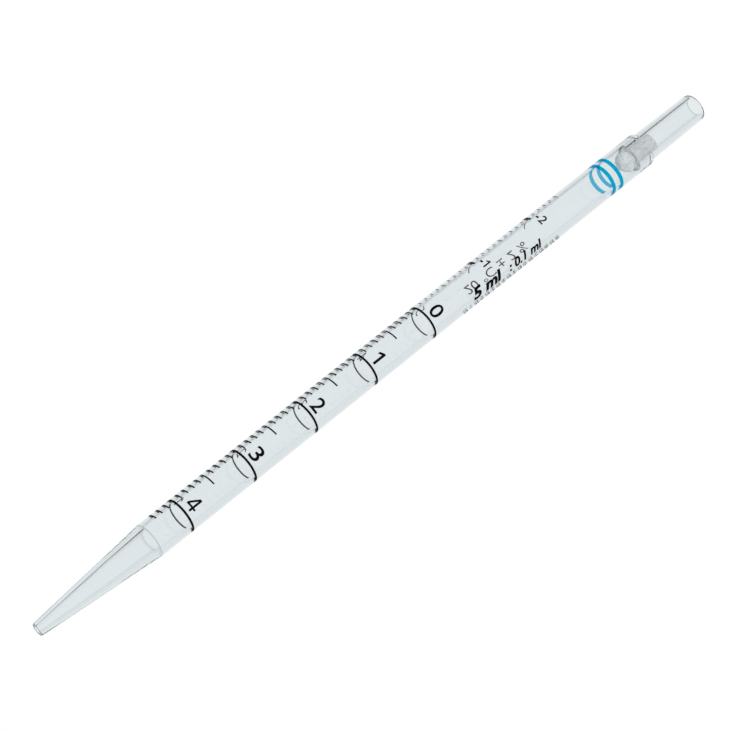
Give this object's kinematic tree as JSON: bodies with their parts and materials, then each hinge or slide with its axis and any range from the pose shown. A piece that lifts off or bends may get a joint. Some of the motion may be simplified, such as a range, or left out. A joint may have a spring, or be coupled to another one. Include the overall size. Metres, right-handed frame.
{
  "type": "graduated pipette",
  "caption": "Clear plastic graduated pipette: straight tube with a printed volume scale, tapered tip, filter-plugged mouthpiece and colour bands.",
  "frame": {"origin": "centre of the tip's outlet, at the lowest point of the tip's rim", "axes": "+Z along the pipette's axis towards the mouthpiece; -Y is the side that the numerals face; +X completes the right-handed frame"},
  "size_m": [0.01, 0.01, 0.2293],
  "materials": {
    "clear_plastic": "clear polystyrene, polished, faint blue-grey tint",
    "filter_fibre": "packed white fibre",
    "black_ink": "black screen-printed ink film",
    "blue_ink": "blue printed colour-code band"
  },
  "bodies": {
    "root": {"body_tube": "clear_plastic", "tip": "clear_plastic", "mouthpiece": "clear_plastic", "filter_plug": "filter_fibre", "colour_band_lower": "blue_ink", "colour_band_upper": "blue_ink", "ring_0": "black_ink", "ring_1": "black_ink", "ring_2": "black_ink", "ring_3": "black_ink", "ring_4": "black_ink", "half_tick_0_5": "black_ink", "half_tick_1_5": "black_ink", "half_tick_2_5": "black_ink", "half_tick_3_5": "black_ink", "numeral_0": "black_ink", "numeral_1": "black_ink", "numeral_2": "black_ink", "numeral_3": "black_ink", "numeral_4": "black_ink", "minus_tick_1": "black_ink", "minus_tick_2": "black_ink", "minus_sign_1": "black_ink", "minus_sign_2": "black_ink", "minus_digit_1": "black_ink", "minus_digit_2": "black_ink", "rising_digit_1": "black_ink", "rising_digit_2": "black_ink", "rising_digit_3": "black_ink", "rising_digit_4": "black_ink", "rising_digit_5": "black_ink"}
  },
  "joints": []
}
